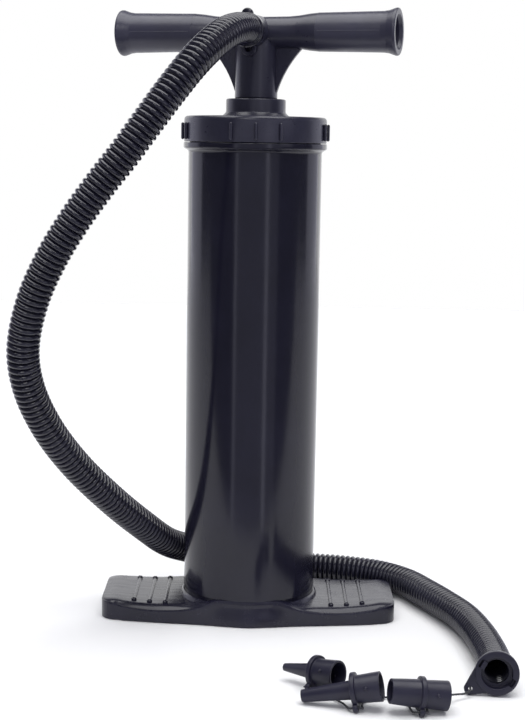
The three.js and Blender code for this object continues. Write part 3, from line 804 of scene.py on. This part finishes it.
# From the lip up to the wing's top: (distance in from the edge, share of the rise).
SHOULDER = [(1.9, 0.02), (2.3, 0.12), (3.4, 0.46), (5.4, 0.80), (7.4, 0.96)]
TREADS = (66, 78.5, 91)
STATIONS = 72
CORNER_STATIONS = 14
END_GAP = 0.02
END_TRIM = 0.7
ROOM_X = 57
ROOM_STATIONS = 60


def smooth(t):
    t = min(1.0, max(0.0, t))
    return t * t * (3 - 2 * t)


def eased(points, x):
    """A smooth curve through the points, read at x."""
    if x <= points[0][0]:
        return points[0][1]
    for i in range(1, len(points)):
        if x > points[i][0]:
            continue
        (x0, y0), (x1, y1) = points[i - 1], points[i]
        before = points[max(i - 2, 0)]
        after = points[min(i + 1, len(points) - 1)]
        run = x1 - x0
        slope0 = 0 if i == 1 else (y1 - before[1]) / (x1 - before[0])
        slope1 = (after[1] - y0) / (after[0] - x0)
        t = (x - x0) / run
        return y0 + (y1 - y0) * smooth(t) + t * (1 - t) * run * (slope0 * (1 - t) - slope1 * t)
    return points[-1][1]


def foot_depth(x):
    """Half the foot's depth, with its corners rounded at the wings' ends."""
    reach = abs(x)
    into = reach - (WING_REACH - CORNER_R)
    if into <= 0:
        return eased(FOOT_DEPTH, reach)
    rounding = CORNER_R - math.sqrt(max(0, CORNER_R**2 - into**2))
    return eased(FOOT_DEPTH, WING_REACH - CORNER_R) - rounding


def foot_tuck(x):
    """How far the front leans in to meet the barrel."""
    return TUCK * (1 - smooth((abs(x) - TUCK_FROM) / TUCK_RUN))


def foot_top(x):
    """The height of the wing's top, inside its lip."""
    return eased(LIP, abs(x)) + eased(RISE, abs(x))


def foot_section(x, trim=0.0):
    """The shell's outline across the wing: out over the top, and back inside the hollow."""
    depth = foot_depth(x) - trim
    tuck = foot_tuck(x)
    lip = eased(LIP, abs(x)) - trim
    top = foot_top(x) - trim
    edge = depth - tuck
    outer = [(depth - 0.5, 0), (depth, 0.5)]
    for share in (0.2, 0.35, 0.5, 0.65, 0.8):
        outer.append((depth - tuck * smooth(share / 0.9), lip * share))
    rise = top - lip
    rounding = min(1.0, rise / 1.5)
    outer += [
        (edge, lip - 0.5 * rounding),
        (edge - 0.15 * rounding, lip - 0.15 * rounding),
        (edge - 0.5 * rounding, lip),
    ]
    outer += [(edge - inset, lip + share * rise) for inset, share in SHOULDER]
    outer += [(edge - 9.2, top), (edge * 0.45, top), (edge * 0.1, top)]
    hollow = max(0.3, min(top - SKIRT, (WING_REACH - SKIRT - abs(x)) * 6))
    inner = [(depth * 0.1, hollow), (depth - 9, hollow), (depth - SKIRT, min(hollow, lip - SKIRT))]
    inner.append((depth - SKIRT, 0))
    front = [(-y, z) for y, z in outer]
    back = list(reversed(outer))
    under = inner[::-1] + [(-y, z) for y, z in inner]
    return [(x, y, z) for y, z in front + back + under]


def foot_collar():
    """The ring round the barrel, trimmed to the foot's front and back."""
    corners = [
        (0, 0),
        (FOOT_RING_R, 0),
        (FOOT_RING_R, 13.2, 1.8),
        (54.4, 15.8, 1.5),
        (53.2, FOOT_RING_TOP, 0.5),
        (0, FOOT_RING_TOP),
    ]
    ring = turned("collar", corners, segments=FINEST)
    sections = []
    for k in range(ROOM_STATIONS + 1):
        x = -ROOM_X + 2 * ROOM_X * k / ROOM_STATIONS
        y = foot_depth(x) - foot_tuck(x) - 0.3
        sections.append([(x, y, -1), (x, y, 30), (x, -y, 30), (x, -y, -1)])
    return merged(ring, "INTERSECT", loft("room", sections))


def build_foot():
    """The shell, the ring round the barrel, and on each wing ridges with a button at both ends."""
    edge = WING_REACH - CORNER_R
    middle = [edge * k / STATIONS for k in range(-STATIONS, STATIONS + 1)]
    bends = [math.pi / 2 * k / CORNER_STATIONS for k in range(1, CORNER_STATIONS)]
    corner = [edge + CORNER_R * math.sin(bend) for bend in bends]
    left = [-x for x in reversed(corner)]
    stations = [(-WING_REACH + END_GAP, END_TRIM)]
    stations += [(x, 0) for x in left + middle + corner]
    stations.append((WING_REACH - END_GAP, END_TRIM))
    foot = loft("foot_skin", [foot_section(x, trim) for x, trim in stations])
    socket = round_bar("socket", 52.45, 8.5, 40, None, FINEST)
    under = round_bar("under", 50.4, -2, 5.5, None, FINE)
    foot = merged(foot, "UNION", foot_collar())
    foot = merged(foot, "DIFFERENCE", socket, under)
    ridges = []
    for side in (-1, 1):
        for x in TREADS:
            top = foot_top(x)
            reach = foot_depth(x) - TREAD_INSET
            ends = [(side * x, y, top - 0.3) for y in (-reach, reach)]
            ridges.append(capsule("tread", *ends, TREAD_R))
            button = [(0, -1), (2.1, -1), (2.1, 1.2, 0.5), (1.3, 1.8, 0.3), (1.0, 0.9, 0.1), (0, 0.9)]
            for y in (-reach, reach):
                place = Matrix.Translation(Vector((side * x, y, top)) * MM)
                ridges.append(turned("button", button, place, segments=24))
    foot = merged(foot, "UNION", *ridges)
    return finished(foot, "foot_plastic", ROOT, "foot_base")


build_foot()


# ---- Handle ----
HANDLE = Matrix.Rotation(HANDLE_TURN, 4, "Z")
FACING_FRONT = Matrix.Rotation(math.pi / 2, 4, "X")
AT_BAR = HANDLE @ Matrix.Translation((0, 0, BAR_Z * MM))
ALONG_BAR = AT_BAR @ Matrix.Rotation(math.pi / 2, 4, "Y")
ALONG_PORTS = AT_BAR @ FACING_FRONT


def gusset(side):
    """The web between the stem and the bar, with a hollow curve along its edge."""
    curve = [(STEM_R, GUSSET_FOOT)]
    pull_x, pull_z = GUSSET_PULL
    end_x, end_z = GUSSET_END
    for k in range(1, 9):
        t = k / 8
        x = (1 - t) ** 2 * STEM_R + 2 * t * (1 - t) * pull_x + t * t * end_x
        z = (1 - t) ** 2 * GUSSET_FOOT + 2 * t * (1 - t) * pull_z + t * t * end_z
        curve.append((x, z))
    outline = [(10, GUSSET_FOOT)] + curve + [(36, 456), (10, 456)]
    flip = Matrix.Rotation(0 if side > 0 else math.pi, 4, "Z")
    place = HANDLE @ flip @ FACING_FRONT
    return extruded("gusset", outline, -GUSSET_T / 2, GUSSET_T / 2, place, edge=0.3)


def build_hub():
    """Stem, bar, both ports, latch ring and gussets in one moulding."""
    corners = [
        (0, STEM_FOOT),
        (STEM_R, STEM_FOOT, 0.7),
        (STEM_R, 450, 3),
        (STEM_R - 1.2, 457, 5),
        (STEM_R - 4.5, 463.5, 5),
        (STEM_R - 8, 468.5, 4),
        (0, 470.5),
    ]
    stem = turned("hub_skin", corners, HANDLE, FINE)
    half = [(11.9, 10), (12.0, 26, 6), (12.6, 34, 8), (14.0, 43, 6), (14.65, GRIP_FROM - 0.05)]
    tip = [(11.6, GRIP_FROM - 0.05, 0.2), (11.6, GRIP_FROM + 8, 0.5), (0, GRIP_FROM + 8)]
    profile = half + tip
    mirrored = [(c[0], -c[1], *c[2:]) for c in reversed(profile)]
    bar = turned("bar", mirrored + profile, ALONG_BAR, FINE)
    boss = round_bar("boss", BOSS_R, -BOSS_REACH, BOSS_REACH, ALONG_PORTS, MEDIUM, fillet=0.7)
    spigot = round_bar("spigot", SPIGOT_R, -SPIGOT_REACH, SPIGOT_REACH, ALONG_PORTS, MEDIUM, fillet=0.6)
    latch_place = HANDLE @ Matrix.Translation((0, 0, LATCH_Z * MM)) @ FACING_FRONT
    latch = turned("latch", [(3, 8), (6, 8), (6, 21.7, 0.6), (3, 21.7, 0.4)], latch_place, segments=40)
    hub = merged(stem, "UNION", bar, boss, spigot, latch, gusset(1), gusset(-1))
    rod_socket = round_bar("rod_socket", 14.6, 405, 440.3, HANDLE, MEDIUM)
    ports = round_bar("ports", PORT_BORE_R, -PORT_BORE_REACH, PORT_BORE_REACH, ALONG_PORTS, segments=48)
    hub = merged(hub, "DIFFERENCE", rod_socket, ports)
    return finished(hub, "body_plastic", PLUNGER, "handle_hub")


build_hub()


def build_grip(name, node, side):
    """A hollow grip with a flared end and a fine mould seam above and below."""
    corners = [
        (GRIP_BORE_R, GRIP_FROM, 0.2),
        (14.7, GRIP_FROM),
        (15.0, 72, 20),
        (15.5, 101, 8),
        (16.1, 105.2, 4),
        (17.3, 108.6, 3),
        (17.9, 110.6, 1),
        (17.7, GRIP_END, 1.1),
        (13.4, GRIP_END, 0.8),
        (GRIP_BORE_R, GRIP_END - 2.6, 1.2),
    ]
    place = ALONG_BAR if side > 0 else ALONG_BAR @ Matrix.Rotation(math.pi, 4, "X")
    grip = turned(name, corners, place, FINE)
    seams = []
    for turn in (1, -1):
        seams.append(capsule("seam", (0, turn * 14.72, 52), (0, turn * 15.32, 100), SEAM_R, place))
    return finished(merged(grip, "UNION", *seams), "grip_plastic", PLUNGER, node)


def build_rod():
    corners = [(r, z, 0.3) for r, z in ((ROD_BORE_R, ROD_LOW), (ROD_R, ROD_LOW))]
    corners += [(r, z, 0.3) for r, z in ((ROD_R, ROD_HIGH), (ROD_BORE_R, ROD_HIGH))]
    finished(turned("rod_skin", corners, segments=80), "rod_aluminium", PLUNGER, "rod_outer_tube")


build_grip("grip_right_skin", "grip_right", 1)
build_grip("grip_left_skin", "grip_left", -1)
build_rod()


# ---- Hose end collars ----
def collar_shell(name, flange_r, body, place):
    """A hose collar with its mouth at height 0, facing +Z."""
    outline = [(COLLAR_BACK_R, -COLLAR_LENGTH, 0.3)] + body
    outline += [
        (flange_r, -COLLAR_FLANGE_T, 0.5),
        (flange_r, 0, 0.9),
        (COLLAR_BORE_R, 0, 0.7),
        (COLLAR_BORE_R, -SOCKET_DEPTH, 0.3),
        (COLLAR_BACK_R, -SOCKET_DEPTH, 0.3),
    ]
    return turned(name, outline, place, FINE)


def port_collar(place):
    """The fixed end: a ribbed cuff with a rounded lug on top."""
    ribs = [
        (12.2, -COLLAR_LENGTH, 0.6),
        (12.2, -7.4, 0.6),
        (10.9, -6.9, 0.3),
        (12.3, -6.3, 0.6),
        (12.3, -4.9, 0.3),
    ]
    shell = collar_shell("port_collar_skin", PORT_COLLAR_R, ribs, place)
    knob_place = place @ Matrix.Translation((KNOB_AT * MM, 0, 0))
    knob = round_bar("knob", KNOB_R, -COLLAR_FLANGE_T, -0.6, knob_place, segments=48, fillet=1.4)
    bore = round_bar("bore", COLLAR_BORE_R, -9, 2, place, FINE)
    return merged(shell, "UNION", merged(knob, "DIFFERENCE", bore))


def end_collar_piece(place):
    """The loose end: a pull tab along +X with a hole in it, and two bayonet notches."""
    body = [(COLLAR_BODY_R, -COLLAR_LENGTH, 0.4), (COLLAR_BODY_R, -5.0, 0.4)]
    shell = collar_shell("end_collar_skin", COLLAR_R, body, place)
    outline = [(8, -12.8), (TAB_REACH - 1.0, -3.0, 2.6), (TAB_REACH, 0, 2.6), (TAB_REACH - 1.0, 3.0, 2.6)]
    outline += [(12.4, 8.7), (12.6, -4)]
    tab = extruded("tab", outline, -COLLAR_FLANGE_T, -1.0, place, edge=0.45)
    hole_place = place @ Matrix.Translation((TAB_HOLE_AT * MM, 0, 0))
    cutters = [round_bar("hole", 1.5, -6, 1, hole_place, COARSE)]
    for turn in NOTCH_TURNS:
        spin = place @ Matrix.Rotation(math.radians(turn), 4, "Z")
        for reach, low in ((13.8, -4.2), (12.3, -SOCKET_DEPTH)):
            notch = [(9.3, -2.9, 0.5), (reach, -2.9, 0.8), (reach, 2.9, 0.8), (9.3, 2.9, 0.5)]
            cutters.append(extruded("notch", notch, low, 2, spin, edge=0.1))
    return merged(merged(shell, "UNION", tab), "DIFFERENCE", *cutters)


PORT_COLLAR = (
    HANDLE
    @ Matrix.Translation((0, -(BOSS_REACH + 0.3) * MM, BAR_Z * MM))
    @ Matrix(((0, 1, 0, 0), (0, 0, 1, 0), (1, 0, 0, 0), (0, 0, 0, 1)))
)
finished(port_collar(PORT_COLLAR), "hose_plastic", PLUNGER, "hose_port_collar")


def placed_axes(origin, x_axis, y_axis, z_axis):
    """The matrix that puts a piece at origin, in metres, along three axes."""
    matrix = Matrix.Identity(4)
    for column, axis in enumerate((x_axis, y_axis, z_axis)):
        for row, value in enumerate(Vector(axis).normalized()):
            matrix[row][column] = value
    return Matrix.Translation(origin) @ matrix


END_COLLAR = placed_axes(
    origin=(0.1741, -0.1948, 0.0161),
    x_axis=(-0.844, 0.0135, -0.536),
    y_axis=(0.526, -0.173, -0.833),
    z_axis=(-0.104, -0.985, 0.139),
)
end_collar = finished(end_collar_piece(END_COLLAR), "nozzle_plastic", ROOT, "hose_end_collar")


# ---- Nozzles ----
def nozzle_piece(name, node, length, base_r, tip_r, root_bore_r, tip_bore_r, mouth, turn, tilt, roll):
    """A cup with two pegs, a flange with an eyelet, and a tapered spout away from the mouth.

    The mouth's centre is in millimetres, and the turns are in degrees.
    """
    place = Matrix.Translation(Vector(mouth) * MM)
    place = place @ Matrix.Rotation(math.radians(turn), 4, "Z")
    place = place @ Matrix.Rotation(math.pi / 2 - math.radians(tilt), 4, "Y")
    place = place @ Matrix.Rotation(math.radians(roll), 4, "Z")
    flange_foot = -NOZZLE_CUP_LENGTH - NOZZLE_FLANGE_T
    bore_r = NOZZLE_CUP_R - NOZZLE_CUP_WALL
    corners = [
        (NOZZLE_CUP_R, 0, 0.6),
        (bore_r, 0, 0.5),
        (bore_r - 0.8, -NOZZLE_CUP_LENGTH, 0.5),
        (root_bore_r, -NOZZLE_CUP_LENGTH - 1, 0.4),
        (tip_bore_r, flange_foot - length, 0.4),
        (tip_r, flange_foot - length, 0.6),
        (base_r, flange_foot, 0.9),
        (NOZZLE_FLANGE_R, flange_foot, 0.7),
        (NOZZLE_FLANGE_R, -NOZZLE_CUP_LENGTH, 0.7),
        (NOZZLE_CUP_R - 0.8, -NOZZLE_CUP_LENGTH, 0.6),
    ]
    shell = turned(name, corners, place, segments=80)
    half = NOZZLE_FLANGE_T / 2
    eyelet_place = place @ Matrix.Translation(Vector((NOZZLE_FLANGE_R + 1.5, 0, flange_foot + half)) * MM)
    ring = [
        (EYELET_BORE_R, -half, 0.5),
        (EYELET_R, -half, 0.8),
        (EYELET_R, half, 0.8),
        (EYELET_BORE_R, half, 0.5),
    ]
    parts = [turned("eyelet", ring, eyelet_place, COARSE)]
    for peg_turn in (PEG_TURN, PEG_TURN + 180):
        out = Vector((math.cos(math.radians(peg_turn)), math.sin(math.radians(peg_turn)), 0))
        foot = out * (NOZZLE_CUP_R - 1.2) + Vector((0, 0, -PEG_DEPTH))
        crown = out * (NOZZLE_CUP_R - 0.6) + Vector((0, 0, -PEG_DEPTH))
        parts.append(capsule("peg", foot, crown, PEG_R, place))
    return finished(merged(shell, "UNION", *parts), "nozzle_plastic", ROOT, node)


long_nozzle = nozzle_piece(
    "nozzle_long_skin",
    "nozzle_long",
    length=35.4,
    base_r=6.6,
    tip_r=4.3,
    root_bore_r=5,
    tip_bore_r=2.8,
    mouth=(92, -224.5, 16.7),
    turn=-12,
    tilt=12.4,
    roll=-42,
)
small_nozzle = nozzle_piece(
    "nozzle_small_skin",
    "nozzle_small",
    length=26.5,
    base_r=5.8,
    tip_r=2.7,
    root_bore_r=4.2,
    tip_bore_r=1.6,
    mouth=(64.3, -196.6, 13.8),
    turn=-38,
    tilt=6,
    roll=-52,
)
adapter = nozzle_piece(
    "nozzle_adapter_skin",
    "nozzle_adapter",
    length=19.8,
    base_r=9.6,
    tip_r=8.4,
    root_bore_r=7.6,
    tip_bore_r=6.8,
    mouth=(136.5, -224, 10.5),
    turn=8,
    tilt=-7,
    roll=-42,
)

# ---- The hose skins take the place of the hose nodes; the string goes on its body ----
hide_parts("hose_upper")
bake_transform(hose_upper)
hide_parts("hose_lower")
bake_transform(hose_lower)
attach(string, ROOT)
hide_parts("nozzle_string")

# ---- The other nodes keep their solid shape and get the slot's finish ----
for node, obj in NODES.items():
    if not obj.hide_render:
        paint(obj, SLOT_OF[node])


# ---- Floor and light, in metres ----
FLOOR_X = 2.2
FLOOR_FRONT = -0.36
FLOOR_BACK = 2.3
FLOOR_DROP = 0.0004
WHITE = (1, 1, 1)
COOL = (0.84, 0.84, 1.0)
LIGHTS = [
    # name, place, aim, width, height, brightness, colour
    ("back", (0, 2.3, 0.9), (0, 0, 0.9), 4.4, 1.8, 1.2, WHITE),
    ("left", (-2.0, 1.2, 0.7), (0, 0.2, 0.5), 1.6, 1.5, 1.05, COOL),
    ("right", (2.0, 1.2, 0.7), (0, 0.2, 0.5), 1.6, 1.5, 1.0, COOL),
    ("top", (0, -0.1, 2.4), (0, 0, 0), 3.0, 2.4, 3.5, WHITE),
    ("front", (0.25, -2.4, 0.4), (0, 0, 0.3), 3.5, 2.8, 0.38, COOL),
    ("front_left", (-1.35, -2.3, 0.2), (0, 0, 0.2), 0.20, 2.4, 1.2, COOL),
    ("front_right", (0.95, -2.3, 0.2), (0, 0, 0.2), 0.24, 2.4, 1.3, COOL),
    ("key", (-0.5, -1.9, 1.6), (0, 0, 0.3), 0.7, 0.5, 5.0, WHITE),
    ("front_right_high", (2.1, -1.7, 1.1), (0, 0, 0.4), 1.0, 1.4, 0.7, COOL),
]


def make_floor():
    mesh = bpy.data.meshes.new("floor")
    front = [(-FLOOR_X, FLOOR_FRONT, 0), (FLOOR_X, FLOOR_FRONT, 0)]
    corners = front + [(FLOOR_X, FLOOR_BACK, 0), (-FLOOR_X, FLOOR_BACK, 0)]
    mesh.from_pydata(corners, [], [(0, 1, 2, 3)])
    floor = bpy.data.objects.new("floor", mesh)
    bpy.context.collection.objects.link(floor)
    material, tree, shader = new_material("floor")
    base = ramp(tree, noise(tree, 3, detail=3.0), (0.90, 0.90, 0.91), (0.93, 0.93, 0.93))
    tree.links.new(base, shader.inputs["Base Color"])
    shader.inputs["Roughness"].default_value = 0.85
    shader.inputs["Specular IOR Level"].default_value = 0.1
    mesh.materials.append(material)
    floor.location.z = -FLOOR_DROP


def panel(name, place, aim, width, height, radiance, color):
    """A soft rectangular light of the given brightness, out of the camera's sight."""
    data = bpy.data.lights.new(name, "AREA")
    data.shape = "RECTANGLE"
    data.size = width
    data.size_y = height
    data.energy = radiance * math.pi * width * height
    data.color = color
    light = bpy.data.objects.new(name, data)
    light.location = place
    light.rotation_euler = (Vector(aim) - Vector(place)).to_track_quat("-Z", "Y").to_euler()
    light.visible_camera = False
    bpy.context.collection.objects.link(light)


def make_world():
    """Dim cool light all round. The camera sees plain white behind the object."""
    world = bpy.data.worlds.new("studio")
    bpy.context.scene.world = world
    world.use_nodes = True
    tree = world.node_tree
    soft = tree.nodes["Background"]
    soft.inputs["Color"].default_value = (0.86, 0.88, 1.0, 1)
    soft.inputs["Strength"].default_value = 0.15
    backdrop = tree.nodes.new("ShaderNodeBackground")
    backdrop.inputs["Color"].default_value = (1, 1, 1, 1)
    backdrop.inputs["Strength"].default_value = 1.0
    path = tree.nodes.new("ShaderNodeLightPath")
    mix = tree.nodes.new("ShaderNodeMixShader")
    tree.links.new(path.outputs["Is Camera Ray"], mix.inputs["Fac"])
    tree.links.new(soft.outputs["Background"], mix.inputs[1])
    tree.links.new(backdrop.outputs["Background"], mix.inputs[2])
    tree.links.new(mix.outputs["Shader"], tree.nodes["World Output"].inputs["Surface"])


make_floor()
make_world()
for light in LIGHTS:
    panel(*light)
bpy.context.scene.view_settings.view_transform = "Standard"
